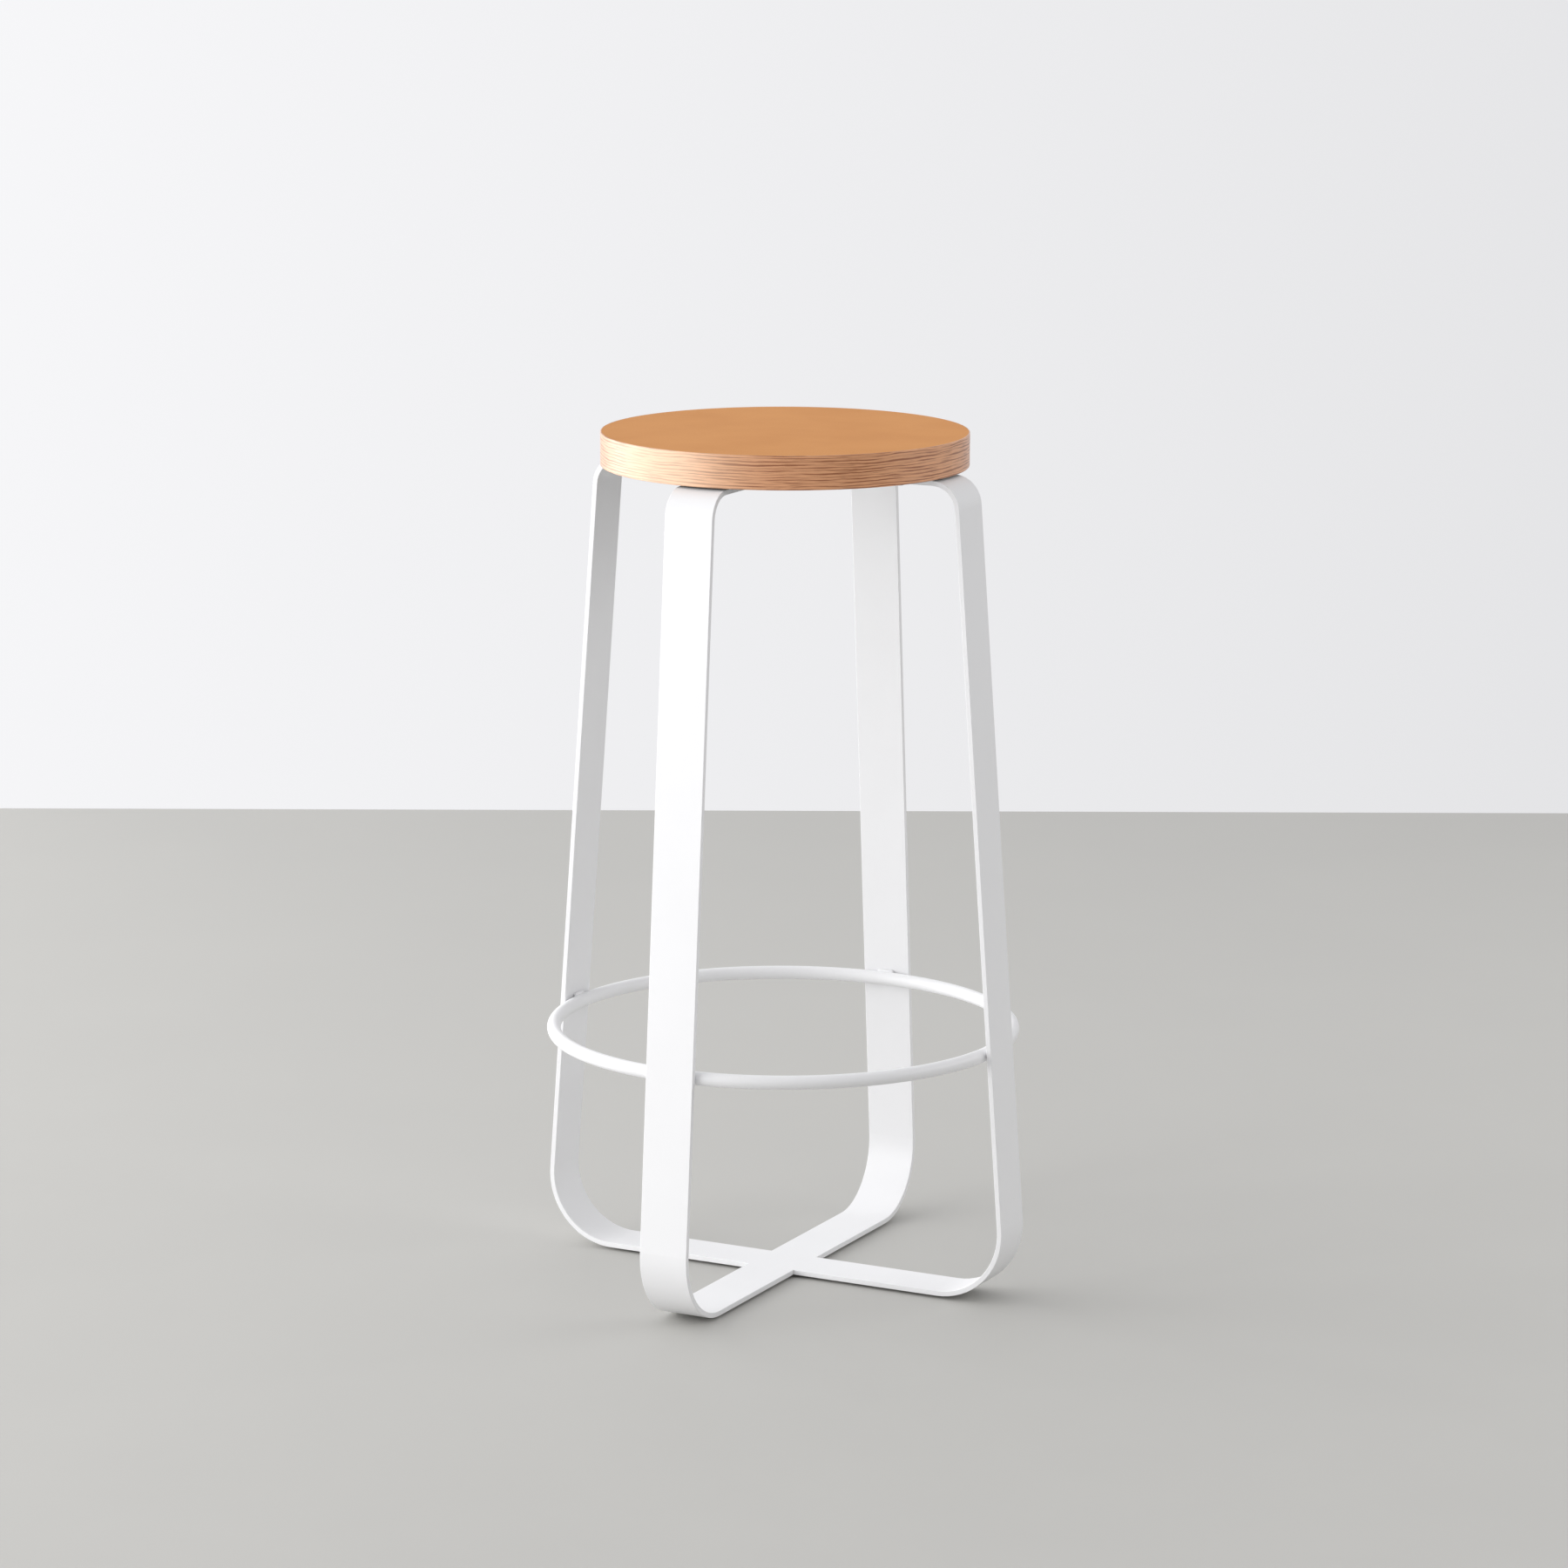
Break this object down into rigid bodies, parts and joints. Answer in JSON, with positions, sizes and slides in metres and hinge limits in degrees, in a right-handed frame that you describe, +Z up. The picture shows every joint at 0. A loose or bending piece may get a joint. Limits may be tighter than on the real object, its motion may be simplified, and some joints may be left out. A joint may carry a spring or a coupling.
{
  "type": "bar stool",
  "caption": "Round bar-height stool: an oak-edged seat with a tan top on a splayed frame of bent flat bar, with a welded ring as a foot rest.",
  "frame": {"origin": "on the floor, under the middle of the seat", "axes": "+Z up; the frame's whole loop runs along Y, and its two halves along X"},
  "size_m": [0.4484, 0.4484, 0.75],
  "materials": {
    "powder_coat": "satin white powder coat",
    "linoleum": "matt tan furniture linoleum",
    "oak": "oiled oak veneer lipping",
    "plywood": "raw birch plywood",
    "backing": "matt dark backing laminate",
    "zinc": "zinc-plated steel",
    "brass": "turned brass",
    "rubber": "moulded black rubber"
  },
  "bodies": {
    "root": {"frame_loop": "powder_coat", "frame_half_right": "powder_coat", "frame_half_left": "powder_coat", "top_seam_welds": "powder_coat", "base_seam_welds": "powder_coat", "foot_ring": "powder_coat", "ring_welds": "powder_coat", "foot_pad_right": "rubber", "foot_pad_back": "rubber", "foot_pad_left": "rubber", "foot_pad_front": "rubber", "seat_screws": "zinc", "seat_washers": "zinc", "seat_spacers": "rubber", "seat_inserts": "brass", "seat_backing": "backing", "seat_core": "plywood", "seat_edge_band": "oak", "seat_top_sheet": "linoleum"}
  },
  "joints": []
}
